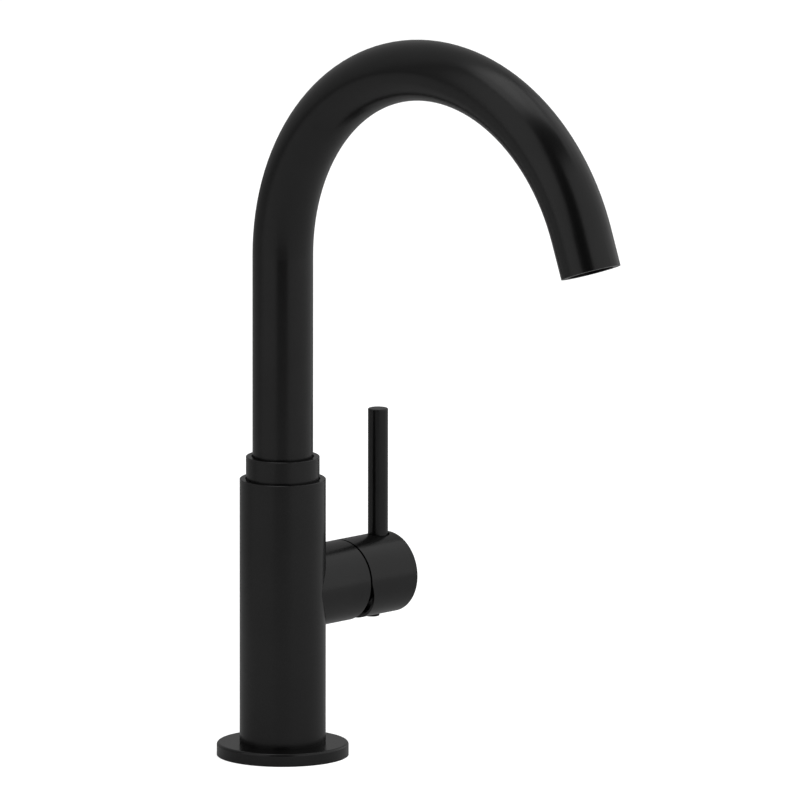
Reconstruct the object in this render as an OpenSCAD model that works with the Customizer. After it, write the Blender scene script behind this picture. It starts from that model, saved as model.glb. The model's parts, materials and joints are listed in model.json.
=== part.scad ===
// Bar faucet with a swivelling gooseneck spout and a side lever.
// Origin: centre of the base on the counter. +Z up, the spout reaches along -Y, the valve pod along +X.

/* [Base] */
// Outer radius of the base flange
flange_r = 26.4; // [24:0.1:34]
// Thickness of the base flange
flange_t = 5.2; // [4:0.1:8]
// Rounding of the flange's top edge
flange_round = 1; // [0.3:0.1:1.5]
// Width of the gasket ring under the flange
gasket_w = 4; // [2:0.5:5]
// Thickness of the gasket ring
gasket_t = 1.6; // [1:0.1:2.4]
// Height of the threaded foot inside the body
plug_h = 16; // [14:0.5:22]
// Lift of the foot above the counter
plug_lift = 0.3; // [0.1:0.1:0.6]
// Tapping radius of the stud hole
stud_hole_r = 3.4; // [2.5:0.1:3.6]
// Depth of the stud hole
stud_hole_depth = 12; // [8:0.5:13]
// Tapping radius of the two inlet holes
inlet_r = 3.5; // [3:0.1:3.8]
// Depth of the inlet threads
inlet_depth = 9; // [6:0.5:10]

/* [Body] */
// Outer radius of the upright body
body_r = 17.25; // [16:0.05:19]
// Height of the body's top edge
body_top = 112.4; // [111:0.1:130]
// Wall of the body tube
body_wall = 2.6; // [2:0.1:2.8]
// Small chamfer on turned edges
edge_break = 0.2; // [0.1:0.05:0.4]

/* [Spout] */
// Outer radius of the spout tube
tube_r = 12.15; // [11:0.05:12.5]
// Wall of the spout tube
tube_wall = 1.2; // [1:0.1:1.5]
// Height where the arch starts
arch_start = 203.1; // [180:0.1:260]
// Radius of the arch's centre line
arch_r = 84.8; // [70:0.1:110]
// Angle that the arch turns through
arch_angle = 160; // [140:0.1:180]
// Length of the straight outlet end
outlet_len = 15.3; // [6:0.1:30]
// Length of the outlet end that reaches back into the bend
end_overlap = 0.6; // [0.4:0.1:1]
// Step between the walls of the bend and of the outlet end
end_step = 0.02; // [0.02:0.01:0.05]

/* [Swivel] */
// Height of the collar above the body
collar_show = 9.05; // [6:0.05:14]
// Width of the collar's ring
collar_w = 2.2; // [1.8:0.05:2.8]
// Extra gap round the collar at the body's top edge
collar_line = 0.2; // [0.05:0.05:0.3]
// Depth of that wider gap
collar_line_depth = 1.5; // [1:0.1:3]
// Thickness of each glide ring
glide_t = 1; // [0.8:0.1:1.4]
// Thickness of the flange on the spout's foot
foot_flange_t = 3; // [2:0.1:3.5]
// Gap between the foot's flange and the bore that it turns in
foot_flange_gap = 0.9; // [0.5:0.1:1.2]
// Radius of the foot's spigot
foot_r = 9.5; // [9:0.1:10]
// Radius of the water way through the foot
foot_bore_r = 6.5; // [5:0.1:6.8]
// Length of the foot inside the tube
foot_top_len = 12; // [8:0.5:20]
// Gap under the foot's spigot
foot_lift = 1; // [0.5:0.1:1.5]
// Height of the socket that the foot turns in
socket_h = 12; // [11:0.1:12]
// Thickness of the socket's floor
socket_floor_t = 2.5; // [2:0.1:2.6]
// Radius of the water way in the socket's floor
socket_way_r = 5; // [4:0.1:6]
// Radius of the spigot seals' section
spigot_seal_r = 0.8; // [0.6:0.05:0.9]
// Height of the lower spigot seal above the spigot's end
spigot_seal_up = 2.2; // [1.6:0.1:2.6]
// Distance between the two spigot seals
spigot_seal_pitch = 3.6; // [3:0.1:4]

/* [Valve pod] */
// Height of the pod's axis
pod_z = 66.3; // [62:0.1:66.5]
// Outer radius of the pod and the cap
pod_r = 16.25; // [15.5:0.05:16.8]
// Distance from the body's axis to the pod's end face
pod_reach = 33.95; // [33:0.05:40]
// Wall of the pod round the nut
pod_wall = 2.1; // [1.9:0.1:2.3]
// Wall of the cartridge's sleeve inside the body
sleeve_wall = 1.3; // [1:0.1:1.6]
// Gap between pod and cap
seam_gap = 0.95; // [0.4:0.05:1]
// Wall of the nut's neck round the cartridge
nut_neck_wall = 1; // [0.8:0.1:1]
// Width of the spanner slots in the nut
spanner_slot_w = 4; // [3:0.5:6]
// Thickness of the dome
dome_t = 0.8; // [0.6:0.1:1]
// Gap between the dome and the cap
dome_gap = 0.7; // [0.5:0.1:1]
// Height of the rim at the dome's foot
dome_lip = 1; // [0.6:0.1:1.4]
// Gap between the nut's neck and the dome
dome_play = 0.6; // [0.4:0.1:0.7]
// Gap round the tipped stem in the dome's hole
dome_hole_gap = 1; // [0.5:0.1:1.5]

/* [Handle] */
// Length of the cap along the pod's axis
cap_len = 26.15; // [25:0.05:32]
// Wall of the cap
cap_wall = 1.75; // [1.5:0.05:1.9]
// Wall of the cap's open edge, which is thinner
cap_lip_wall = 0.9; // [0.8:0.05:1.4]
// Thickness of the cap's end wall
cap_end_t = 2; // [1.5:0.1:3]
// Radius of the hub round the stem
hub_r = 8; // [6:0.1:9]
// Angle that the lever tips through
tip_angle = 20; // [15:1:22]
// Radius of the lever
lever_r = 4.05; // [3.5:0.05:5]
// Height of the lever's top above the pod's axis
lever_h = 67.2; // [50:0.05:110]
// Distance from the lever's axis to the cap's end
lever_inset = 6.25; // [5.95:0.05:6.3]
// Rounding of the lever's top edge
lever_round = 0.5; // [0.2:0.1:1]
// Radius of the lever's threaded end
lever_thread_r = 3; // [2.5:0.1:3.2]
// Depth of the lever's seat below the cap's crest
lever_seat_depth = 2.5; // [2:0.1:3]
// Thickness of the hub under the lever's thread
lever_floor_t = 2.6; // [2:0.1:3.5]
// Distance from the set screw's axis to the cap's end
screw_inset = 9.55; // [9:0.05:9.6]
// Radius of the set screw
screw_r = 2.5; // [2:0.1:2.5]
// Length of the set screw
screw_len = 8; // [6:0.5:8.5]
// Half width across the flats of the set screw's socket
screw_hex = 1.25; // [1:0.05:1.5]
// Radius of the cover button
button_r = 2.95; // [2.7:0.05:3.2]
// Height that the cover button stands out
button_out = 0.7; // [0.4:0.05:1.2]
// Depth of the cover button's seat
button_depth = 1.2; // [0.8:0.1:1.5]
// Wall of the lugs round the lever and the set screw
lug_wall = 1.8; // [1.2:0.1:2.2]

/* [Cartridge] */
// Radius of the cartridge
cartridge_r = 12.5; // [12.4:0.05:12.6]
// Wall of the cartridge housing
housing_wall = 1.3; // [1.2:0.1:1.4]
// Thickness of the housing's end under the nut
housing_end_t = 3.2; // [2.6:0.1:3.6]
// Wall of the housing's neck
neck_wall = 1.5; // [1.2:0.1:1.6]
// Length of the neck past the point that the lever tips about
neck_out = 3.3; // [2.8:0.1:4]
// Thickness of the cartridge base
cartridge_base_t = 5; // [4:0.1:6]
// Thickness of the fixed disc
fixed_disc_t = 3; // [2:0.1:4]
// Thickness of the moving disc
moving_disc_t = 2.8; // [2.2:0.1:4]
// Radius of the moving disc
moving_disc_r = 8.4; // [7.8:0.1:8.6]
// Travel of the moving disc
disc_travel = 3.5; // [2.5:0.1:3.6]
// Radius of the mixing chamber in the moving disc
chamber_r = 5.6; // [5:0.1:6]
// Depth of the mixing chamber
chamber_depth = 1.5; // [1:0.1:1.8]
// Drop of the mixing chamber's middle below the disc's
chamber_down = 1.6; // [1:0.1:2]
// Thickness of the carrier's plate
carrier_t = 3; // [2:0.1:4]
// Width of the carrier's rim outside the moving disc
carrier_rim = 0.2; // [0.1:0.1:0.4]
// Length of the carrier's boss
carrier_boss_len = 7.4; // [6:0.1:7.6]
// Wall of the boss round the ball
boss_wall = 1.2; // [0.9:0.1:1.4]
// Length of the boss past the ball's middle
boss_lip = 1.8; // [1.5:0.1:2.1]
// Radius of the ball on the stem's end
ball_r = 2.1; // [1.9:0.05:2.2]
// Radius of the stem
stem_r = 3.2; // [2.8:0.1:3.3]
// Radius of the stem's neck
stem_neck_r = 1.5; // [1.2:0.1:1.6]
// Thickness of the stem behind its pin hole
stem_back_t = 2.3; // [1.8:0.1:2.6]
// Length of the stem past the set screw's axis
stem_past = 2.3; // [1.5:0.1:3]
// Depth of the flat that the set screw bears on
stem_flat = 0.4; // [0.2:0.1:0.8]
// Radius of the pin that the stem tips on
pin_r = 1.5; // [1:0.05:1.6]
// Distance of the pin's ends from the turret's side
pin_inset = 1; // [0.6:0.1:1.5]
// Thickness of the turret's flange
turret_flange_t = 3.4; // [3:0.1:4]
// Length of the turret past the neck
turret_out = 0.8; // [0.4:0.1:1.2]
// Gap between the turret and the neck
turret_gap = 0.2; // [0.1:0.05:0.3]
// Gap between the carrier's boss and the end of the turret's cavity
cavity_gap = 0.8; // [0.5:0.1:1]
// Radius of the turret seal's section
turret_seal_r = 0.7; // [0.6:0.05:0.75]
// Angle that the turret turns to each side
turn_angle = 45; // [30:1:50]
// Half angle of the stop in the housing
stop_half = 8; // [5:0.5:10]
// Spare angle at each end of the turn
stop_slack = 1; // [0.5:0.5:3]
// Gap between the stop and the turret
stop_gap = 0.2; // [0.1:0.1:0.4]
// Radius of the water ports
port_r = 2; // [1.6:0.1:2.2]
// Distance of the two inlet ports from the middle
port_y = 5.6; // [5.4:0.1:6]
// Height of the two inlet ports above the pod's axis
port_up = 3; // [2.6:0.1:3.4]
// Depth of the mixed water port below the pod's axis
port_down = 5.4; // [5:0.1:6]
// Thickness of the port seals
port_seal_t = 1.6; // [1.2:0.1:2]
// Width of the port seals
port_seal_w = 1.1; // [0.8:0.1:1.3]
// Height that the port seals stand out of the cartridge base
port_seal_out = 0.3; // [0.2:0.1:0.5]
// Radius of the two pegs under the cartridge
peg_r = 1.2; // [0.9:0.1:1.4]
// Length of the pegs
peg_len = 2; // [1.5:0.1:3]
// Distance of the pegs from the middle
peg_y = 6.6; // [6.4:0.1:7]
// Depth of the pegs below the pod's axis
peg_down = 6.2; // [5.8:0.1:6.6]

/* [Valve block] */
// Distance from the block's face back to the inlet ways
way_back = 11; // [10:0.1:11.5]
// Distance from the block's face back to the mixed water way
mix_back = 5.5; // [4.5:0.1:6]
// Extra radius of the inlet ways over the ports
way_extra = 0.4; // [0:0.1:0.6]
// Extra radius of the mixed water way over its port
mix_extra = 1.2; // [0.6:0.1:1.4]
// Length of the block below the cartridge's sleeve
block_below = 4.3; // [4.3:0.1:6]
// Thickness of the block's disc over the cartridge's sleeve
block_disc_t = 3.8; // [3:0.1:4]

/* [Supply tubes] */
// Outer radius of the supply tubes
supply_r = 3.2; // [2.6:0.1:3.4]
// Wall of the supply tubes
supply_wall = 0.8; // [0.5:0.1:1]
// Depth of the tube ends in their sockets
supply_seat = 4; // [3:0.5:5]
// Radius of the ring seals' section in the body
seal_r = 0.9; // [0.7:0.05:1]

/* [Aerator] */
// Radius of the aerator's thread
aerator_r = 9.2; // [8.9:0.1:9.4]
// Radius of the aerator's mouth
mouth_r = 8.1; // [6:0.1:8.2]
// Depth of the mouth
mouth_depth = 3.4; // [2:0.1:3.6]
// Distance of the aerator's end inside the outlet
mouth_recess = 2; // [0.1:0.1:2.5]
// Length of the aerator
aerator_len = 11; // [9:0.5:11]
// Length of the threaded sleeve in the outlet
sleeve_len = 16; // [16:0.5:20]
// Thickness of the aerator's seal
aerator_seal_t = 1.5; // [1:0.1:2]
// Width of the insert's edge outside the mouth
insert_edge = 0.6; // [0.4:0.1:0.8]
// Radius of the holes in the insert
insert_hole_r = 0.9; // [0.6:0.1:1]
// Distance between rings of holes in the insert
insert_pitch = 2.4; // [2.1:0.1:2.5]
// Number of rings of holes in the insert
insert_rings = 3; // [2:1:3]
// Thickness of the inlet screen
screen_t = 1; // [0.6:0.1:1.5]
// Width of the screen's slots and of the bars between them
screen_slot_w = 1.4; // [1:0.1:1.5]
// Number of slots to each side of the screen's middle slot
screen_slots = 2; // [1:1:2]

/* [Fits] */
// Gap of pressed and brazed rings and of slip fits
slip = 0.1; // [0.05:0.05:0.15]
// Gap of fine threads
thread_gap = 0.05; // [0.02:0.01:0.08]
// Gap round the cartridge in its pocket
pocket_gap = 0.15; // [0.1:0.05:0.2]
// Gap between the spout tube and the collar
collar_gap = 0.4; // [0.2:0.05:0.5]
// Gap between the foot's flange and each glide ring
glide_gap = 0.2; // [0.1:0.05:0.3]
// Gap round moving pieces inside the valve
free_gap = 0.3; // [0.2:0.05:0.35]
// Gap round the lever and the button
show_gap = 0.6; // [0.1:0.05:0.6]
// Running gap of the stem on its pin
pin_gap = 0.06; // [0.03:0.01:0.1]
// Film gap between faces that slide
film = 0.05; // [0.03:0.01:0.1]

/* [Hidden] */
$fn = 96;
finish = [0.11, 0.11, 0.115];
brass = [0.78, 0.62, 0.32];
steel = [0.72, 0.73, 0.74];
copper = [0.74, 0.43, 0.3];
plastic = [0.16, 0.17, 0.18];
white_plastic = [0.85, 0.85, 0.82];
rubber = [0.05, 0.05, 0.05];
ceramic = [0.93, 0.92, 0.88];

// Overshoot of cutting tools
cut = 1;
// Sides of the key's socket in the set screw
hex_sides = 6;
// Holes in the insert's first ring; each ring outwards has as many more
ring_holes = 6;

// Body and base
bore_r = body_r - body_wall;
fit_r = bore_r - slip;
flange_bore_r = fit_r + 2 * slip;
gasket_mid_r = (flange_bore_r + flange_r) / 2;
gasket_r = gasket_mid_r + gasket_w / 2;
gasket_bore_r = gasket_mid_r - gasket_w / 2;
plug_top = plug_lift + plug_h;
seal_mid_r = bore_r - seal_r;
groove_r = seal_mid_r - seal_r - slip;
groove_h = 2 * seal_r + 2 * slip;
plug_seal_z = flange_t + groove_h;

// Handle, placed from the point that the lever tips about
pivot_x = pod_reach + seam_gap / 2;
cap_start = pod_reach + seam_gap;
cap_end = cap_start + cap_len;
cap_bore_r = pod_r - cap_wall;
cap_lip_end = cap_start + pod_r * tan(tip_angle) + free_gap;
lever_x = cap_end - lever_inset;
lever_top = pod_z + lever_h;
lever_seat = pod_z + pod_r - lever_seat_depth;
lever_low = pod_z + stem_r + lever_floor_t;
screw_x = cap_end - screw_inset;
screw_top = pod_z - stem_r + stem_flat;
screw_low = screw_top - screw_len;
button_seat = pod_z - pod_r + button_depth;
button_low = pod_z - pod_r - button_out;

// Cartridge, from the stem's ball back to the port seals
stem_arm = disc_travel / (tip_angle * PI / 180);
ball_x = pivot_x - stem_arm;
ball_socket_r = ball_r + free_gap;
boss_r = ball_socket_r + boss_wall;
boss_end = ball_x + boss_lip;
carrier_end = boss_end - carrier_boss_len;
carrier_x = carrier_end - carrier_t;
carrier_r = moving_disc_r + carrier_rim;
moving_disc_x = carrier_x - moving_disc_t;
fixed_disc_x = moving_disc_x - film - fixed_disc_t;
cartridge_base_x = fixed_disc_x - cartridge_base_t;
floor_x = cartridge_base_x - port_seal_out;
housing_r = cartridge_r - housing_wall;
disc_r = housing_r - free_gap;
port_seal_r = port_r + port_seal_w;
port_rows = [[port_up, port_y], [port_up, -port_y], [-port_down, 0]];

// Cartridge, from the turret out to the neck
turret_x = carrier_end + free_gap;
shoulder_x = turret_x + turret_flange_t + free_gap;
nut_seat_x = shoulder_x + housing_end_t;
neck_end = pivot_x + neck_out;
turret_end = neck_end + turret_out;
cavity_end = boss_end + cavity_gap;
stem_end = screw_x + stem_past;
stem_back = pivot_x - pin_r - stem_back_t;

// Pod
pocket_r = cartridge_r + pocket_gap;
pocket_sleeve_r = pocket_r + sleeve_wall;
nut_bore_r = pod_r - pod_wall;
nut_r = nut_bore_r - slip;
dome_r = cap_bore_r - dome_gap;
dome_hole_r = stem_r + dome_r * sin(tip_angle) + dome_hole_gap;
hub_x = pivot_x + dome_r + free_gap;
nut_neck_r = dome_r - dome_t - dome_play;

// The housing's neck is no wider than its bore, and passes through the nut's neck
neck_r = min(housing_r, nut_neck_r - nut_neck_wall - slip);
neck_bore_r = neck_r - neck_wall;
turret_r = neck_bore_r - turret_gap;
stop_r = turret_r + stop_gap;
stem_slot_w = 2 * (stem_r + free_gap);
stem_slot_h = 2 * (stem_r + (turret_end - pivot_x) * sin(tip_angle) + free_gap);
cavity_w = 2 * (boss_r + free_gap);
cavity_low = boss_r + free_gap;
cavity_high = boss_r + disc_travel + free_gap;
turret_seal_x = (cavity_end + pivot_x - pin_r) / 2;
turret_seal_mid_r = neck_bore_r - film - turret_seal_r;
turret_groove_r = turret_seal_mid_r - turret_seal_r - film;
turret_groove_w = 2 * turret_seal_r + 2 * slip;

// Valve block
way_r = port_r + way_extra;
way_x = floor_x - way_back;
mix_x = floor_x - mix_back;
mix_r = port_r + mix_extra;
block_bottom = pod_z - pocket_sleeve_r - block_below;
block_disc_z = pod_z + pocket_sleeve_r + film;
block_top = block_disc_z + block_disc_t;
supply_socket_r = supply_r + slip;
supply_bore_r = supply_r - supply_wall;

// Swivel
collar_bore_r = tube_r + collar_gap;
collar_r = collar_bore_r + collar_w;
collar_top = body_top + collar_show;
swivel_bore_r = collar_r + slip;
socket_top = block_top + socket_h;
socket_bore_r = foot_r + slip;
socket_seal_z = block_top + socket_h / 2;
foot_bottom = block_top + socket_floor_t + foot_lift;
foot_flange_r = swivel_bore_r - foot_flange_gap;
foot_flange_z = socket_top + glide_t + glide_gap;
foot_flange_top = foot_flange_z + foot_flange_t;
upper_glide_z = foot_flange_top + glide_gap;
collar_low = upper_glide_z + glide_t;
tube_bore_r = tube_r - tube_wall;
spigot_seal_mid_r = socket_bore_r - film - spigot_seal_r;
spigot_groove_r = spigot_seal_mid_r - spigot_seal_r - film;
spigot_groove_w = 2 * spigot_seal_r + 2 * slip;
spigot_seal_low = foot_bottom + spigot_seal_up;
spigot_seal_z = [spigot_seal_low, spigot_seal_low + spigot_seal_pitch];

// Outlet
sleeve_r = tube_bore_r - thread_gap;
sleeve_bore_r = aerator_r + thread_gap;
insert_r = mouth_r + insert_edge;
insert_t = aerator_len - mouth_depth - screen_t;

// Upright cylinder between two heights
module post(r, low, high)
{
    translate([0, 0, low])
        cylinder(r = r, h = high - low);
}

// Upright ring between two heights
module ring(r, bore, low, high)
{
    difference() {
        post(r, low, high);
        post(bore, low - cut, high + cut);
    }
}

// Upright cylinder with a small chamfer on its top edge
module broken_post(r, low, high, edge)
{
    post(r, low, high - edge);
    translate([0, 0, high - edge])
        cylinder(r1 = r, r2 = r - edge, h = edge);
}

// Ring seal of round section, lying flat
module seal_ring(mid_r, section_r, z)
{
    translate([0, 0, z])
        rotate_extrude()
            translate([mid_r, 0])
                circle(r = section_r, $fn = 32);
}

// Places children on the pod's axis, their +Z along the pod
module on_pod(x)
{
    translate([x, 0, pod_z])
        rotate([0, 90, 0])
            children();
}

// Cylinder along the pod's axis between two distances
module pod_post(r, from, to)
{
    on_pod(from)
        cylinder(r = r, h = to - from);
}

// Ring along the pod's axis between two distances
module pod_ring(r, bore, from, to)
{
    difference() {
        pod_post(r, from, to);
        pod_post(bore, from - cut, to + cut);
    }
}

// Cylinder parallel to the pod's axis, moved up and sideways
module pod_pin(r, from, to, up, side)
{
    translate([0, side, up])
        pod_post(r, from, to);
}

// Places children in the arch's plane, their origin at its centre and their +X towards the riser
module in_arch()
{
    translate([0, -arch_r, arch_start])
        rotate([90, 0, 90])
            children();
}

// Places children at the outlet, their +Z along the water
module at_outlet(back = 0)
{
    in_arch()
        rotate([0, 0, arch_angle])
            translate([arch_r, outlet_len - back, 0])
                rotate([-90, 0, 0])
                    children();
}

module base_flange()
{
    color(finish)
        difference() {
            union() {
                post(flange_r, 0, flange_t - flange_round);
                post(flange_r - flange_round, 0, flange_t);
                translate([0, 0, flange_t - flange_round])
                    rotate_extrude()
                        translate([flange_r - flange_round, 0])
                            intersection() {
                                circle(r = flange_round);
                                square(flange_round);
                            }
            }
            post(flange_bore_r, -cut, flange_t + cut);
            ring(gasket_r, gasket_bore_r, -cut, gasket_t);
        }
}

module deck_gasket()
{
    color(rubber)
        ring(gasket_r, gasket_bore_r, 0, gasket_t);
}

// Upright tube: a bore for the block and the socket, one above it for the collar, and a side hole for the pod
module body_shell()
{
    color(finish)
        difference() {
            broken_post(body_r, flange_t, body_top, edge_break);
            post(bore_r, flange_t - cut, socket_top);
            post(swivel_bore_r, socket_top, body_top + cut);
            post(swivel_bore_r + collar_line, body_top - collar_line_depth, body_top + cut);
            pod_post(pocket_sleeve_r, 0, body_r + cut);
        }
}

// Side housing, brazed on: a saddle on the body's outside and the cartridge's sleeve through the side hole
module pod_shell()
{
    color(finish)
        difference() {
            union() {
                difference() {
                    pod_post(pod_r, 0, pod_reach);
                    post(body_r, pod_z - pod_r - cut, pod_z + pod_r + cut);
                }
                pod_post(pocket_sleeve_r, floor_x, body_r + cut);
            }
            pod_post(pocket_r, floor_x - cut, pod_reach + cut);
            pod_post(nut_bore_r, nut_seat_x, pod_reach + cut);
        }
}

// One inlet of the foot: thread below, water way, tube socket above
module inlet_bore(side)
{
    translate([way_x, side * port_y, 0]) {
        post(inlet_r, plug_lift - cut, plug_lift + inlet_depth);
        post(supply_bore_r, plug_lift, plug_top);
        post(supply_socket_r, plug_top - supply_seat, plug_top + cut);
    }
}

module base_plug()
{
    color(brass)
        difference() {
            post(fit_r, plug_lift, plug_top);
            post(stud_hole_r, plug_lift - cut, plug_lift + stud_hole_depth);
            inlet_bore(1);
            inlet_bore(-1);
            ring(fit_r + cut, groove_r, plug_seal_z - groove_h / 2, plug_seal_z + groove_h / 2);
        }
}

module plug_seal()
{
    color(rubber)
        seal_ring(seal_mid_r, seal_r, plug_seal_z);
}

module supply_tube(side)
{
    color(copper)
        translate([way_x, side * port_y, 0])
            ring(supply_r, supply_bore_r, plug_top - supply_seat, block_bottom + supply_seat);
}

module hot_tube()
{
    supply_tube(1);
}

module cold_tube()
{
    supply_tube(-1);
}

// One inlet way of the block: tube socket, riser and port
module block_way(side)
{
    translate([way_x, side * port_y, 0]) {
        post(supply_socket_r, block_bottom - cut, block_bottom + supply_seat);
        post(way_r, block_bottom, pod_z + port_up);
    }
    pod_pin(port_r, way_x, floor_x + cut, port_up, side * port_y);
}

module valve_block()
{
    color(brass)
        difference() {
            post(fit_r, block_bottom, block_top);
            translate([floor_x, -body_r, block_bottom - cut])
                cube([body_r, 2 * body_r, block_disc_z - block_bottom + cut]);
            block_way(1);
            block_way(-1);
            pod_pin(port_r, mix_x, floor_x + cut, -port_down, 0);
            translate([mix_x, 0, 0])
                post(mix_r, pod_z - port_down, block_top + cut);
            for (side = [-1, 1])
                pod_pin(peg_r + slip, floor_x - peg_len - slip, floor_x + cut, -peg_down, side * peg_y);
        }
}

module port_seals()
{
    color(rubber)
        for (port = port_rows)
            translate([0, port[1], port[0]])
                pod_ring(port_seal_r, port_r, floor_x, floor_x + port_seal_t);
}

module cartridge_base()
{
    color(white_plastic) {
        difference() {
            pod_post(cartridge_r, cartridge_base_x, fixed_disc_x);
            for (port = port_rows) {
                pod_pin(port_r, floor_x, fixed_disc_x + cut, port[0], port[1]);
                pod_pin(port_seal_r, floor_x, floor_x + port_seal_t, port[0], port[1]);
            }
        }
        for (side = [-1, 1])
            pod_pin(peg_r, floor_x - peg_len, cartridge_base_x + cut, -peg_down, side * peg_y);
    }
}

module fixed_disc()
{
    color(ceramic)
        difference() {
            pod_post(disc_r, fixed_disc_x, fixed_disc_x + fixed_disc_t);
            for (port = port_rows)
                pod_pin(port_r, fixed_disc_x - cut, moving_disc_x + cut, port[0], port[1]);
        }
}

module moving_disc()
{
    color(ceramic)
        translate([0, 0, -disc_travel / 2])
            difference() {
                pod_post(moving_disc_r, moving_disc_x, carrier_x);
                pod_pin(chamber_r, moving_disc_x - cut, moving_disc_x + chamber_depth, -chamber_down, 0);
            }
}

module disc_carrier()
{
    color(plastic)
        difference() {
            union() {
                translate([0, 0, -disc_travel / 2])
                    pod_post(carrier_r, carrier_x, carrier_end);
                pod_post(boss_r, carrier_x, boss_end);
            }
            pod_post(ball_socket_r, ball_x - ball_socket_r - free_gap, boss_end + cut);
        }
}

// Sector of a ring round the pod's axis, centred on its underside
module pod_sector(r, bore, half, from, to)
{
    on_pod(from)
        rotate([0, 0, -half])
            rotate_extrude(angle = 2 * half)
                translate([bore, 0])
                    square([r - bore, to - from]);
}

module cartridge_housing()
{
    color(plastic) {
        difference() {
            union() {
                pod_post(cartridge_r, fixed_disc_x, nut_seat_x);
                pod_post(neck_r, nut_seat_x - cut, neck_end);
            }
            pod_post(housing_r, fixed_disc_x - cut, shoulder_x);
            pod_post(neck_bore_r, shoulder_x - cut, neck_end + cut);
        }
        pod_sector(housing_r + slip, stop_r, stop_half, turret_x + free_gap, shoulder_x + slip);
    }
}

module turret()
{
    color(white_plastic)
        difference() {
            union() {
                difference() {
                    pod_post(disc_r, turret_x, turret_x + turret_flange_t);
                    pod_sector(disc_r + cut, turret_r, turn_angle + stop_half + stop_slack,
                        turret_x - cut, turret_x + turret_flange_t + cut);
                }
                pod_post(turret_r, turret_x, turret_end);
            }
            translate([turret_x - cut, -cavity_w / 2, pod_z - cavity_low])
                cube([cavity_end - turret_x + cut, cavity_w, cavity_low + cavity_high]);
            translate([turret_x, -stem_slot_w / 2, pod_z - stem_slot_h / 2])
                cube([turret_end - turret_x + cut, stem_slot_w, stem_slot_h]);
            translate([pivot_x, 0, pod_z])
                rotate([90, 0, 0])
                    cylinder(r = pin_r, h = 2 * turret_r + 2 * cut, center = true);
            pod_ring(turret_r + cut, turret_groove_r, turret_seal_x - turret_groove_w / 2,
                turret_seal_x + turret_groove_w / 2);
        }
}

module turret_seal()
{
    color(rubber)
        on_pod(turret_seal_x)
            seal_ring(turret_seal_mid_r, turret_seal_r, 0);
}

module stem_pin()
{
    color(steel)
        translate([pivot_x, 0, pod_z])
            rotate([90, 0, 0])
                cylinder(r = pin_r, h = 2 * (turret_r - pin_inset), center = true);
}

module lever_stem()
{
    color(steel)
        difference() {
            union() {
                on_pod(ball_x)
                    sphere(r = ball_r);
                pod_post(stem_neck_r, ball_x, stem_back + cut);
                pod_post(stem_r, stem_back, stem_end);
            }
            translate([pivot_x, 0, pod_z])
                rotate([90, 0, 0])
                    cylinder(r = pin_r + pin_gap, h = 2 * stem_r + 2 * cut, center = true);
            translate([screw_x - 2 * screw_r, -stem_r, pod_z - stem_r - cut])
                cube([2 * screw_r + stem_past + cut, 2 * stem_r, cut + stem_flat]);
        }
}

module bonnet_nut()
{
    color(finish)
        difference() {
            union() {
                pod_post(nut_r, nut_seat_x, pivot_x);
                pod_post(nut_neck_r, nut_seat_x, neck_end);
            }
            pod_post(neck_r + slip, nut_seat_x - cut, neck_end + cut);
            for (turn = [0, 90])
                on_pod(pivot_x + dome_lip + free_gap)
                    rotate([0, 0, turn])
                        translate([-nut_r, -spanner_slot_w / 2, 0])
                            cube([2 * nut_r, spanner_slot_w, neck_end]);
        }
}

module bonnet_dome()
{
    color(plastic)
        difference() {
            union() {
                difference() {
                    on_pod(pivot_x)
                        sphere(r = dome_r);
                    on_pod(pivot_x)
                        sphere(r = dome_r - dome_t);
                }
                pod_post(dome_r - dome_t / 2, pivot_x, pivot_x + dome_lip);
            }
            pod_post(nut_neck_r + slip, pivot_x - cut, pivot_x + dome_lip + cut);
            pod_post(dome_hole_r, pivot_x, pivot_x + dome_r + cut);
            pod_post(dome_r + cut, pivot_x - dome_r - cut, pivot_x);
        }
}

// Wedge that lets the lower half of the cap tip towards the pod
module tip_wedge()
{
    depth = pod_r + cut;
    translate([cap_start, depth, pod_z])
        rotate([90, 0, 0])
            linear_extrude(2 * depth)
                polygon([[-cut, 0], [0, 0], [depth * tan(tip_angle), -depth], [-cut, -depth]]);
}

module handle_cap()
{
    color(finish)
        difference() {
            union() {
                difference() {
                    pod_post(pod_r, cap_start, cap_end - edge_break);
                    pod_post(cap_bore_r, cap_start - cut, cap_end - cap_end_t);
                    pod_post(pod_r - cap_lip_wall, cap_start - cut, cap_lip_end);
                }
                on_pod(cap_end - edge_break)
                    cylinder(r1 = pod_r, r2 = pod_r - edge_break, h = edge_break);
                pod_post(hub_r, hub_x, cap_end - edge_break);
                intersection() {
                    pod_post(cap_bore_r + cap_wall / 2, hub_x, cap_end - cap_end_t / 2);
                    union() {
                        translate([lever_x, 0, 0])
                            post(lever_r + lug_wall, pod_z, pod_z + pod_r);
                        translate([screw_x, 0, 0])
                            post(button_r + lug_wall, pod_z - pod_r, pod_z);
                    }
                }
            }
            tip_wedge();
            pod_post(stem_r + slip, hub_x - cut, stem_end + slip);
            translate([lever_x, 0, 0]) {
                post(lever_r + show_gap, lever_seat, pod_z + pod_r + cut);
                post(lever_thread_r + thread_gap, lever_low - slip, lever_seat + cut);
            }
            translate([screw_x, 0, 0]) {
                post(screw_r + thread_gap, pod_z - pod_r - cut, screw_top);
                post(button_r + show_gap, pod_z - pod_r - cut, button_seat);
            }
        }
}

module lever_rod()
{
    color(finish)
        translate([lever_x, 0, 0]) {
            post(lever_r, lever_seat, lever_top - lever_round);
            post(lever_r - lever_round, lever_top - lever_round, lever_top);
            translate([0, 0, lever_top - lever_round])
                rotate_extrude()
                    translate([lever_r - lever_round, 0])
                        intersection() {
                            circle(r = lever_round);
                            square(lever_round);
                        }
            post(lever_thread_r, lever_low, lever_seat);
        }
}

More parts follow.
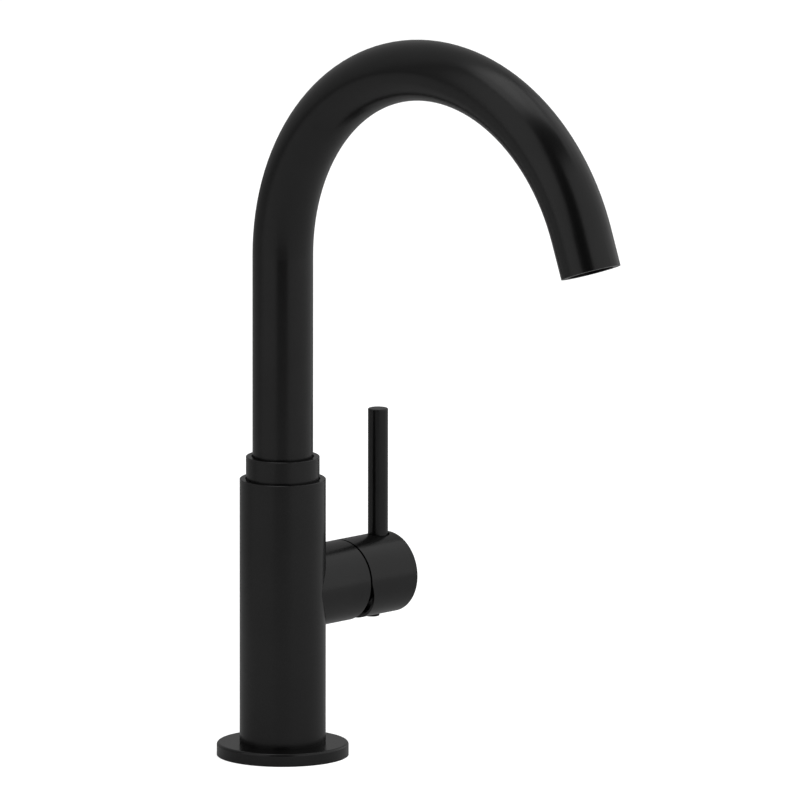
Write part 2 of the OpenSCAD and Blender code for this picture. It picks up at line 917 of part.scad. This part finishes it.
module handle_set_screw()
{
    color(steel)
        translate([screw_x, 0, 0])
            difference() {
                post(screw_r, screw_low, screw_top);
                translate([0, 0, screw_low - cut])
                    cylinder(r = screw_hex / cos(180 / hex_sides), h = screw_len / 2 + cut, $fn = hex_sides);
            }
}

module screw_cover()
{
    color(rubber)
        translate([screw_x, 0, 0]) {
            translate([0, 0, button_low])
                cylinder(r1 = button_r - edge_break, r2 = button_r, h = edge_break);
            post(button_r, button_low + edge_break, button_seat);
            post(screw_r - slip, button_low + edge_break, screw_low - slip);
        }
}

module spout_socket()
{
    color(white_plastic)
        difference() {
            post(fit_r, block_top, socket_top);
            post(socket_bore_r, block_top + socket_floor_t, socket_top + cut);
            post(socket_way_r, block_top - cut, socket_top);
            ring(fit_r + cut, groove_r, socket_seal_z - groove_h / 2, socket_seal_z + groove_h / 2);
        }
}

module socket_seal()
{
    color(rubber)
        seal_ring(seal_mid_r, seal_r, socket_seal_z);
}

module lower_glide_ring()
{
    color(white_plastic)
        ring(foot_flange_r, socket_bore_r + slip, socket_top, socket_top + glide_t);
}

module upper_glide_ring()
{
    color(white_plastic)
        ring(foot_flange_r, collar_bore_r, upper_glide_z, collar_low);
}

module spout_collar()
{
    color(finish)
        difference() {
            broken_post(collar_r, collar_low, collar_top, edge_break);
            post(collar_bore_r, collar_low - cut, collar_top + cut);
        }
}

module spout_foot()
{
    color(brass)
        difference() {
            union() {
                post(foot_r, foot_bottom, foot_flange_z + cut);
                post(foot_flange_r, foot_flange_z, foot_flange_top);
                post(tube_bore_r - slip, foot_flange_top - cut, foot_flange_top + foot_top_len);
            }
            post(foot_bore_r, foot_bottom - cut, foot_flange_top + foot_top_len + cut);
            for (z = spigot_seal_z)
                ring(foot_r + cut, spigot_groove_r, z - spigot_groove_w / 2, z + spigot_groove_w / 2);
        }
}

module spout_o_rings()
{
    color(rubber)
        for (z = spigot_seal_z)
            seal_ring(spigot_seal_mid_r, spigot_seal_r, z);
}

// The spout's run with a given radius, used for its outside and its bore.
// The straight end starts inside the bend and is a hair thinner in its wall, so the two join cleanly.
module spout_run(r, extra, step)
{
    post(r, foot_flange_top - extra, arch_start);
    in_arch()
        rotate_extrude(angle = arch_angle)
            translate([arch_r, 0])
                circle(r = r);
    at_outlet(outlet_len + end_overlap)
        cylinder(r = r - step, h = outlet_len + end_overlap + extra);
}

module spout_tube()
{
    color(finish)
        difference() {
            spout_run(tube_r, 0, end_step);
            spout_run(tube_bore_r, cut, -end_step);
        }
}

module outlet_sleeve()
{
    color(finish)
        at_outlet()
            difference() {
                post(sleeve_r, -sleeve_len, 0);
                post(sleeve_bore_r, -aerator_len - aerator_seal_t - mouth_recess, cut);
                post(mouth_r, -sleeve_len - cut, 0);
            }
}

module aerator_housing()
{
    color(finish)
        at_outlet(mouth_recess)
            difference() {
                post(aerator_r, -aerator_len, 0);
                post(mouth_r, -mouth_depth - cut, cut);
                post(insert_r + slip, -aerator_len - cut, -mouth_depth);
            }
}

module aerator_insert()
{
    color(plastic)
        at_outlet(mouth_recess + mouth_depth)
            difference() {
                post(insert_r, -insert_t, 0);
                post(insert_hole_r, -insert_t - cut, cut);
                for (row = [1:insert_rings])
                    for (place = [1:ring_holes * row])
                        rotate([0, 0, 360 / ring_holes * place / row])
                            translate([row * insert_pitch, 0, 0])
                                post(insert_hole_r, -insert_t - cut, cut);
            }
}

module aerator_screen()
{
    color(steel)
        at_outlet(mouth_recess + mouth_depth + insert_t)
            difference() {
                post(insert_r, -screen_t, 0);
                for (row = [-screen_slots:screen_slots])
                    translate([row * 2 * screen_slot_w, 0, 0])
                        cube([screen_slot_w, insert_r, 2 * screen_t + cut], center = true);
            }
}

module aerator_seal()
{
    color(rubber)
        at_outlet(mouth_recess + aerator_len)
            ring(aerator_r, mouth_r, -aerator_seal_t, 0);
}

base_flange();
deck_gasket();
body_shell();
pod_shell();
base_plug();
plug_seal();
hot_tube();
cold_tube();
valve_block();
port_seals();
cartridge_base();
cartridge_housing();
fixed_disc();
moving_disc();
disc_carrier();
turret();
turret_seal();
stem_pin();
lever_stem();
bonnet_nut();
bonnet_dome();
handle_cap();
lever_rod();
handle_set_screw();
screw_cover();
spout_socket();
socket_seal();
lower_glide_ring();
upper_glide_ring();
spout_collar();
spout_foot();
spout_o_rings();
spout_tube();
outlet_sleeve();
aerator_seal();
aerator_screen();
aerator_insert();
aerator_housing();
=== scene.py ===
# Bar faucet in satin black, standing on a plain pale floor.
import json
import math

import bpy
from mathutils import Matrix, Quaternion, Vector

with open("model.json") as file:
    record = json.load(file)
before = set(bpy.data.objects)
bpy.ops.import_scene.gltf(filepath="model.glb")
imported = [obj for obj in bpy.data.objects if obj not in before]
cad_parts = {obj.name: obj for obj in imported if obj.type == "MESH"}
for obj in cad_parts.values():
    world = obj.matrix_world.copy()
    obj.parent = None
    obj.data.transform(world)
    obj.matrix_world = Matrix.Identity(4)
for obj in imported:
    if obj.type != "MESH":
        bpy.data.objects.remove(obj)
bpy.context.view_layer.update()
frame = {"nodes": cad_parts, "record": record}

MM = 0.001

# The camera's place, in degrees and metres: turned and raised as in the photograph, and far off, so that its
# perspective is slight
CAMERA_TURN = -46.10
CAMERA_RISE = 10.70
CAMERA_FAR = 14.256
CAMERA_LENS = 1603.8
CAMERA_ROLL = 0.05
SENSOR_WIDTH = 36
CLIP_END = 100
AIM_RIGHT = 0.0468
AIM_UP = 0.14171

# Soft boxes that stand on the floor round the faucet: between which turns from the camera's own they reach,
# how high they are and how bright they look. The top box lies over the faucet, its long side turned by its turn
STUDIO_MIDDLE = Vector((0, -0.07, 0.15))
BOX_FAR = 1.7
SOFT_BOXES = {
    "left_box": {"from": -81, "to": -25, "high": 2.6, "level": 1.78},
    "right_box": {"from": 15, "to": 85, "high": 2.5, "level": 1.98},
    "far_right_box": {"from": 85, "to": 150, "high": 2.7, "level": 1.98},
}
TOP_BOX = {"high": 2.0, "wide": 2.5, "deep": 1.06, "back": 0.01, "turn": 35, "level": 3.2}
# An area lamp of one watt and one square metre looks this bright
LAMP_LOOK = 1 / math.pi

# The dark side of the studio: cloth behind the boxes and the camera, and a low flag in the gap between the boxes
TENT_RADIUS = 3.6
TENT_TOP = 78
TENT_LEFT = -88
TENT_RIGHT = 152
FLAG_FAR = 0.9
FLAG_LEFT = -27
FLAG_RIGHT = 17
FLAG_HIGH = 0.45

# The thin net behind the faucet takes some light from what its edges mirror, and thins out towards its top
NET_RADIUS = 0.35
NET_HIGH = 0.48
NET_FADE_FROM = 0.22
NET_DARK = 0.24

# Faces round each cloth and net, and from the dome's foot to its top and down again
CLOTH_SIDES = 96
CLOTH_RINGS = 48

# The world's level for diffuse light. Mirrored rays see a painted shadow on the floor, whose tone fades towards
# dark grey round a spot behind the faucet
WORLD_LEVEL = 0.3
FLOOR_SIZE = 8
FLOOR_GLOW = 0.77
MIRRORED_FLOOR_GLOW = 0.12
PAINTED_SHADE_TURN = 185
PAINTED_SHADE_FAR = 0.2
PAINTED_SHADE_REACH = 0.32
PAINTED_SHADE_DEPTH = 0.28

WHITE = (1, 1, 1, 1)


def linear(hex_colour):
    """An sRGB hex colour as the linear colour that the shaders take."""
    parts = [int(hex_colour[i:i + 2], 16) / 255 for i in (1, 3, 5)]
    bent = [p / 12.92 if p <= 0.04045 else ((p + 0.055) / 1.055) ** 2.4 for p in parts]
    return (*bent, 1.0)


def add_node(tree, kind, settings=None, links=None):
    """Adds one shader node, with its settings and what feeds it. A socket that shares its name with another one
    is given by its number."""
    node = tree.nodes.new(kind)
    for key, value in (settings or {}).items():
        if isinstance(key, int) or key in node.inputs:
            node.inputs[key].default_value = value
        else:
            setattr(node, key, value)
    for key, source in (links or {}).items():
        tree.links.new(source, node.inputs[key])
    return node


def new_material(name):
    """An empty material, its shader tree and the place on the piece that its patterns read."""
    material = bpy.data.materials.new(name)
    material.use_nodes = True
    tree = material.node_tree
    tree.nodes.clear()
    return material, tree, add_node(tree, "ShaderNodeTexCoord").outputs["Object"]


def powder_coat_black():
    """Black polyester powder, baked on brass: a closed satin skin with a faint orange peel over a pigment
    that scatters almost nothing, so that its tones are all mirrored ones."""
    material, tree, place = new_material("powder_coat_black")
    peel = add_node(tree, "ShaderNodeTexNoise", {"Scale": 1 / (1.6 * MM), "Detail": 2.0, "Roughness": 0.5},
                    {"Vector": place})
    cloud = add_node(tree, "ShaderNodeTexNoise", {"Scale": 1 / (22 * MM), "Detail": 2.0}, {"Vector": place})
    skin = add_node(tree, "ShaderNodeMapRange", {"To Min": 0.275, "To Max": 0.325},
                    {"Value": cloud.outputs["Fac"]})
    tint = add_node(tree, "ShaderNodeMixRGB", {"Color1": linear("#090909"), "Color2": linear("#0c0c0c")},
                    {"Fac": cloud.outputs["Fac"]})
    bump = add_node(tree, "ShaderNodeBump", {"Strength": 0.06, "Distance": 0.01 * MM},
                    {"Height": peel.outputs["Fac"]})
    coat = add_node(tree, "ShaderNodeBsdfPrincipled",
                    {"Roughness": 0.6, "Specular IOR Level": 0.0, "Coat Roughness": 0.25, "Coat IOR": 1.5},
                    {"Base Color": tint.outputs["Color"], "Coat Weight": skin.outputs["Result"],
                     "Normal": bump.outputs["Normal"], "Coat Normal": bump.outputs["Normal"]})
    add_node(tree, "ShaderNodeOutputMaterial", {}, {"Surface": coat.outputs["BSDF"]})
    return material


def turned_metal(name, bright, dull, groove):
    """A turned metal: fine tool rings round the upright axis, dulled in patches where hands have held it."""
    material, tree, place = new_material(name)
    along = add_node(tree, "ShaderNodeMapping", {"Scale": (0.04, 0.04, 1.0)}, {"Vector": place})
    lines = add_node(tree, "ShaderNodeTexNoise", {"Scale": 1 / (groove * MM), "Detail": 3.0, "Roughness": 0.6},
                     {"Vector": along.outputs["Vector"]})
    rings = add_node(tree, "ShaderNodeTexWave",
                     {"wave_type": "RINGS", "rings_direction": "Z", "Scale": math.pi / 10 / (groove * MM),
                      "Distortion": 0.4, "Detail": 2.0}, {"Vector": place})
    patches = add_node(tree, "ShaderNodeTexNoise", {"Scale": 1 / (9 * MM), "Detail": 4.0}, {"Vector": place})
    colour = add_node(tree, "ShaderNodeMixRGB", {"Color1": linear(bright), "Color2": linear(dull)},
                      {"Fac": patches.outputs["Fac"]})
    rough = add_node(tree, "ShaderNodeMapRange", {"To Min": 0.22, "To Max": 0.42},
                     {"Value": patches.outputs["Fac"]})
    side = add_node(tree, "ShaderNodeBump", {"Strength": 0.25, "Distance": 0.01 * MM},
                    {"Height": lines.outputs["Fac"]})
    face = add_node(tree, "ShaderNodeBump", {"Strength": 0.12, "Distance": 0.01 * MM},
                    {"Height": rings.outputs["Fac"], "Normal": side.outputs["Normal"]})
    metal = add_node(tree, "ShaderNodeBsdfPrincipled", {"Metallic": 1.0},
                     {"Base Color": colour.outputs["Color"], "Roughness": rough.outputs["Result"],
                      "Normal": face.outputs["Normal"]})
    add_node(tree, "ShaderNodeOutputMaterial", {}, {"Surface": metal.outputs["BSDF"]})
    return material


def drawn_copper():
    """Copper tube as drawn through its die: fine lines along the tube, and a browner film in clouds."""
    material, tree, place = new_material("drawn_copper")
    across = add_node(tree, "ShaderNodeMapping", {"Scale": (1.0, 1.0, 0.03)}, {"Vector": place})
    lines = add_node(tree, "ShaderNodeTexNoise", {"Scale": 1 / (0.3 * MM), "Detail": 3.0},
                     {"Vector": across.outputs["Vector"]})
    film = add_node(tree, "ShaderNodeTexNoise", {"Scale": 1 / (7 * MM), "Detail": 4.0}, {"Vector": place})
    colour = add_node(tree, "ShaderNodeMixRGB", {"Color1": linear("#d9966f"), "Color2": linear("#a8664a")},
                      {"Fac": film.outputs["Fac"]})
    rough = add_node(tree, "ShaderNodeMapRange", {"To Min": 0.25, "To Max": 0.5},
                     {"Value": film.outputs["Fac"]})
    bump = add_node(tree, "ShaderNodeBump", {"Strength": 0.3, "Distance": 0.01 * MM},
                    {"Height": lines.outputs["Fac"]})
    tube = add_node(tree, "ShaderNodeBsdfPrincipled", {"Metallic": 1.0},
                    {"Base Color": colour.outputs["Color"], "Roughness": rough.outputs["Result"],
                     "Normal": bump.outputs["Normal"]})
    add_node(tree, "ShaderNodeOutputMaterial", {}, {"Surface": tube.outputs["BSDF"]})
    return material


def nitrile_rubber():
    """Moulded black nitrile: matte, with a greyish dust of mould release in the fine pits of its skin."""
    material, tree, place = new_material("nitrile_rubber")
    pits = add_node(tree, "ShaderNodeTexNoise", {"Scale": 1 / (0.5 * MM), "Detail": 4.0, "Roughness": 0.6},
                    {"Vector": place})
    dust = add_node(tree, "ShaderNodeTexNoise", {"Scale": 1 / (5 * MM), "Detail": 3.0}, {"Vector": place})
    colour = add_node(tree, "ShaderNodeMixRGB", {"Color1": linear("#0b0b0b"), "Color2": linear("#161616")},
                      {"Fac": dust.outputs["Fac"]})
    rough = add_node(tree, "ShaderNodeMapRange", {"To Min": 0.6, "To Max": 0.8},
                     {"Value": pits.outputs["Fac"]})
    bump = add_node(tree, "ShaderNodeBump", {"Strength": 0.25, "Distance": 0.03 * MM},
                    {"Height": pits.outputs["Fac"]})
    rubber = add_node(tree, "ShaderNodeBsdfPrincipled", {"IOR": 1.52, "Specular IOR Level": 0.2},
                      {"Base Color": colour.outputs["Color"], "Roughness": rough.outputs["Result"],
                       "Normal": bump.outputs["Normal"]})
    add_node(tree, "ShaderNodeOutputMaterial", {}, {"Surface": rubber.outputs["BSDF"]})
    return material


def moulded_acetal(name, light, deep, gloss):
    """Moulded acetal: smooth and waxy, with the fine grain of the spark-eroded mould and faint flow clouds."""
    material, tree, place = new_material(name)
    grain = add_node(tree, "ShaderNodeTexNoise", {"Scale": 1 / (0.35 * MM), "Detail": 2.0}, {"Vector": place})
    flow = add_node(tree, "ShaderNodeTexNoise", {"Scale": 1 / (8 * MM), "Detail": 2.0}, {"Vector": place})
    colour = add_node(tree, "ShaderNodeMixRGB", {"Color1": linear(light), "Color2": linear(deep)},
                      {"Fac": flow.outputs["Fac"]})
    rough = add_node(tree, "ShaderNodeMapRange", {"To Min": 0.42, "To Max": 0.55},
                     {"Value": grain.outputs["Fac"]})
    bump = add_node(tree, "ShaderNodeBump", {"Strength": 0.2, "Distance": 0.02 * MM},
                    {"Height": grain.outputs["Fac"]})
    plastic = add_node(tree, "ShaderNodeBsdfPrincipled", {"IOR": 1.48, "Specular IOR Level": gloss},
                       {"Base Color": colour.outputs["Color"], "Roughness": rough.outputs["Result"],
                        "Normal": bump.outputs["Normal"]})
    add_node(tree, "ShaderNodeOutputMaterial", {}, {"Surface": plastic.outputs["BSDF"]})
    return material


def lapped_alumina():
    """Alumina ceramic, fired and lapped flat: warm white, close grained, with a mirror-like sliding face."""
    material, tree, place = new_material("lapped_alumina")
    grain = add_node(tree, "ShaderNodeTexVoronoi", {"Scale": 1 / (0.4 * MM)}, {"Vector": place})
    cloud = add_node(tree, "ShaderNodeTexNoise", {"Scale": 1 / (4 * MM), "Detail": 2.0}, {"Vector": place})
    colour = add_node(tree, "ShaderNodeMixRGB", {"Color1": linear("#f2efe7"), "Color2": linear("#e4dfd2")},
                      {"Fac": cloud.outputs["Fac"]})
    rough = add_node(tree, "ShaderNodeMapRange", {"To Min": 0.12, "To Max": 0.24},
                     {"Value": grain.outputs["Distance"]})
    disc = add_node(tree, "ShaderNodeBsdfPrincipled", {"IOR": 1.76},
                    {"Base Color": colour.outputs["Color"], "Roughness": rough.outputs["Result"]})
    add_node(tree, "ShaderNodeOutputMaterial", {}, {"Surface": disc.outputs["BSDF"]})
    return material


def dress_nodes():
    """Gives every CAD node the material of its finish."""
    finishes = {
        "black_finish": powder_coat_black(),
        "brass": turned_metal("turned_brass", "#e2c286", "#b9924f", 0.4),
        "copper": drawn_copper(),
        "steel": turned_metal("turned_stainless_steel", "#cfcfcc", "#a9aaa8", 0.3),
        "rubber": nitrile_rubber(),
        "dark_plastic": moulded_acetal("black_acetal", "#0a0a0a", "#101011", 0.15),
        "white_plastic": moulded_acetal("white_acetal", "#e9e8e2", "#dbd9cf", 0.4),
        "ceramic": lapped_alumina(),
    }
    for part in frame["record"]["subparts"]:
        node = frame["nodes"][part["node"]]
        node.data.materials.clear()
        node.data.materials.append(finishes[part["material_slot"]])


def direction(turn, rise):
    """Unit vector towards a viewer at this turn and rise, where turn 0 stands on the -Y side."""
    a = math.radians(turn)
    e = math.radians(rise)
    return Vector((math.sin(a) * math.cos(e), -math.cos(a) * math.cos(e), math.sin(e)))


def floor():
    """Pale floor: white to the camera, and it keeps the faucet's shadow. Mirrored, it is paper in the boxes'
    light, with a painted shadow that darkens it round a spot behind the faucet."""
    bpy.ops.mesh.primitive_plane_add(size=FLOOR_SIZE)
    sheet = bpy.context.object
    sheet.name = "floor"
    material, tree, place = new_material("pale_floor")
    path = add_node(tree, "ShaderNodeLightPath")
    mirrored = add_node(tree, "ShaderNodeMath", {"operation": "MAXIMUM"},
                        {0: path.outputs["Is Glossy Ray"], 1: path.outputs["Is Transmission Ray"]}).outputs[0]
    paper = add_node(tree, "ShaderNodeTexNoise", {"Scale": 1 / (300 * MM)}, {"Vector": place})
    dim = add_node(tree, "ShaderNodeMixRGB", {"Color1": linear("#a8a8a8"), "Color2": linear("#aaaaaa")},
                   {"Fac": paper.outputs["Fac"]})
    tone = add_node(tree, "ShaderNodeMixRGB", {"Color2": linear("#f2f2f2")},
                    {"Color1": dim.outputs["Color"], "Fac": mirrored})
    matte = add_node(tree, "ShaderNodeBsdfDiffuse", {}, {"Color": tone.outputs["Color"]})
    seen = add_node(tree, "ShaderNodeMath", {"operation": "MULTIPLY", 1: FLOOR_GLOW},
                    {0: path.outputs["Is Camera Ray"]})
    glow = add_node(tree, "ShaderNodeMath", {"operation": "MULTIPLY_ADD", 1: MIRRORED_FLOOR_GLOW},
                    {0: mirrored, 2: seen.outputs[0]})
    white = add_node(tree, "ShaderNodeEmission", {"Color": WHITE}, {"Strength": glow.outputs[0]})
    lit = add_node(tree, "ShaderNodeAddShader", {}, {0: matte.outputs[0], 1: white.outputs[0]})
    # Painted shadow: for mirrored rays only, the floor fades towards dark grey round a spot behind the faucet,
    # deepest there and gone at its reach
    painted_shade_spot = direction(CAMERA_TURN + PAINTED_SHADE_TURN, 0) * PAINTED_SHADE_FAR
    away = add_node(tree, "ShaderNodeVectorMath", {"operation": "DISTANCE", 1: painted_shade_spot}, {0: place})
    painted_shade = add_node(tree, "ShaderNodeMapRange",
                     {"interpolation_type": "SMOOTHSTEP", "From Max": PAINTED_SHADE_REACH, "To Min": PAINTED_SHADE_DEPTH,
                      "To Max": 0.0},
                     {"Value": away.outputs["Value"]})
    painted_shade_share = add_node(tree, "ShaderNodeMath", {"operation": "MULTIPLY"},
                      {0: painted_shade.outputs["Result"], 1: mirrored})
    # The dark grey that the painted shadow mixes into the mirrored floor
    black = add_node(tree, "ShaderNodeBsdfDiffuse", {"Color": linear("#101010")})
    surface = add_node(tree, "ShaderNodeMixShader", {},
                       {"Fac": painted_shade_share.outputs[0], 1: lit.outputs[0], 2: black.outputs[0]})
    add_node(tree, "ShaderNodeOutputMaterial", {}, {"Surface": surface.outputs[0]})
    sheet.data.materials.append(material)


def world_light():
    """White behind the object and in its mirrored tones, and a plain grey level for the diffuse light."""
    world = bpy.data.worlds.new("studio")
    bpy.context.scene.world = world
    world.use_nodes = True
    tree = world.node_tree
    tree.nodes.clear()
    path = add_node(tree, "ShaderNodeLightPath")
    level = add_node(tree, "ShaderNodeMapRange", {"To Min": 1.0, "To Max": WORLD_LEVEL},
                     {"Value": path.outputs["Is Diffuse Ray"]})
    light = add_node(tree, "ShaderNodeBackground", {"Color": WHITE}, {"Strength": level.outputs["Result"]})
    add_node(tree, "ShaderNodeOutputWorld", {}, {"Surface": light.outputs[0]})


def lamp(name, place, turned, wide, high, level):
    """One soft box: a flat area lamp that looks evenly bright."""
    data = bpy.data.lights.new(name, "AREA")
    data.shape = "RECTANGLE"
    data.size = wide
    data.size_y = high
    data.energy = level * wide * high / LAMP_LOOK
    thing = bpy.data.objects.new(name, data)
    bpy.context.scene.collection.objects.link(thing)
    thing.location = place
    thing.rotation_euler = turned


def lamps():
    """The soft boxes left and right of the camera and the one overhead."""
    for name, box in SOFT_BOXES.items():
        away = direction(CAMERA_TURN + (box["from"] + box["to"]) / 2, 0)
        place = STUDIO_MIDDLE + away * BOX_FAR
        place.z = box["high"] / 2
        wide = 2 * BOX_FAR * math.tan(math.radians(box["to"] - box["from"]) / 2)
        turned = (-away).to_track_quat("-Z", "Y").to_euler()
        lamp(name, place, turned, wide, box["high"], box["level"])
    turn = CAMERA_TURN + TOP_BOX["turn"]
    place = STUDIO_MIDDLE + Vector((0, 0, TOP_BOX["high"])) + direction(turn + 180, 0) * TOP_BOX["back"]
    lamp("top_box", place, (0, 0, math.radians(turn)), TOP_BOX["wide"], TOP_BOX["deep"], TOP_BOX["level"])


def stage_cloth(thing, name, dark=1.0, fade_from=0.0, fade_to=1.0, dark_above=1.0):
    """Black cloth or net on a stage piece that the camera doesn't see. dark is the share of light that it stops up
    to the height fade_from, and dark_above the share that it stops from the height fade_to on."""
    thing.name = name
    material, tree, place = new_material(name)
    nap = add_node(tree, "ShaderNodeTexNoise", {"Scale": 1 / (40 * MM)}, {"Vector": place})
    tone = add_node(tree, "ShaderNodeMixRGB", {"Color1": linear("#040404"), "Color2": linear("#060606")},
                    {"Fac": nap.outputs["Fac"]})
    matte = add_node(tree, "ShaderNodeBsdfDiffuse", {}, {"Color": tone.outputs["Color"]})
    holes = add_node(tree, "ShaderNodeBsdfTransparent")
    height = add_node(tree, "ShaderNodeSeparateXYZ", {}, {"Vector": place})
    threads = add_node(tree, "ShaderNodeMapRange",
                       {"From Min": fade_from, "From Max": fade_to, "To Min": dark, "To Max": dark_above},
                       {"Value": height.outputs["Z"]})
    weave = add_node(tree, "ShaderNodeMixShader", {},
                     {"Fac": threads.outputs["Result"], 1: holes.outputs[0], 2: matte.outputs[0]})
    add_node(tree, "ShaderNodeOutputMaterial", {}, {"Surface": weave.outputs[0]})
    thing.data.materials.append(material)
    thing.visible_camera = False


def keep_part(thing, left, right, top=90):
    """Keeps the faces of a round stage piece between two turns from the camera's own, above the floor and below
    the rise top."""
    for face in thing.data.polygons:
        turn = math.degrees(math.atan2(face.center.x, -face.center.y)) - CAMERA_TURN
        rise = math.degrees(math.asin(face.center.z / face.center.length))
        face.select = not ((turn - left) % 360 < right - left and 0 < rise < top)
    bpy.context.tool_settings.mesh_select_mode = (False, False, True)
    bpy.ops.object.mode_set(mode="EDIT")
    bpy.ops.mesh.delete(type="FACE")
    bpy.ops.object.mode_set(mode="OBJECT")


def cloths():
    """Black cloth round the dark side, and a thin low net round the rest."""
    bpy.ops.mesh.primitive_uv_sphere_add(segments=CLOTH_SIDES, ring_count=CLOTH_RINGS, radius=TENT_RADIUS)
    tent = bpy.context.object
    keep_part(tent, TENT_LEFT, TENT_RIGHT, TENT_TOP)
    stage_cloth(tent, "black_tent")
    bpy.ops.mesh.primitive_cylinder_add(vertices=CLOTH_SIDES, radius=NET_RADIUS, depth=NET_HIGH,
                                        end_fill_type="NOTHING", location=(0, 0, NET_HIGH / 2))
    bpy.ops.object.transform_apply(location=True, rotation=True, scale=True)
    net = bpy.context.object
    keep_part(net, TENT_RIGHT, TENT_LEFT + 360)
    stage_cloth(net, "back_net", NET_DARK, NET_FADE_FROM, NET_HIGH, 0.0)


def flag():
    """The low black flag in the gap between the boxes, which the front of the tubes mirrors as a dark band."""
    left = FLAG_FAR * math.tan(math.radians(FLAG_LEFT))
    right = FLAG_FAR * math.tan(math.radians(FLAG_RIGHT))
    turn = math.radians(CAMERA_TURN)
    aside = Vector((math.cos(turn), math.sin(turn), 0))
    place = direction(CAMERA_TURN, 0) * FLAG_FAR + aside * (left + right) / 2
    bpy.ops.mesh.primitive_plane_add(size=1, location=(place.x, STUDIO_MIDDLE.y + place.y, FLAG_HIGH / 2),
                                     rotation=(math.pi / 2, 0, turn))
    board = bpy.context.object
    board.scale = (right - left, FLAG_HIGH, 1)
    bpy.ops.object.transform_apply(location=True, rotation=True, scale=True)
    stage_cloth(board, "black_flag")


def camera():
    """The photograph's camera."""
    data = bpy.data.cameras.new("camera")
    data.lens = CAMERA_LENS
    data.sensor_width = SENSOR_WIDTH
    data.clip_end = CLIP_END
    thing = bpy.data.objects.new("camera", data)
    bpy.context.scene.collection.objects.link(thing)
    a = math.radians(CAMERA_TURN)
    back = direction(CAMERA_TURN, CAMERA_RISE)
    right = Vector((math.cos(a), math.sin(a), 0))
    up = back.cross(right)
    thing.location = right * AIM_RIGHT + up * AIM_UP + back * CAMERA_FAR
    level = (-back).to_track_quat("-Z", "Y")
    thing.rotation_euler = (level @ Quaternion((0, 0, 1), math.radians(CAMERA_ROLL))).to_euler()
    bpy.context.scene.camera = thing


bpy.ops.object.select_all(action="DESELECT")
dress_nodes()
camera()
floor()
world_light()
lamps()
cloths()
flag()
bpy.context.scene.view_settings.view_transform = "Standard"
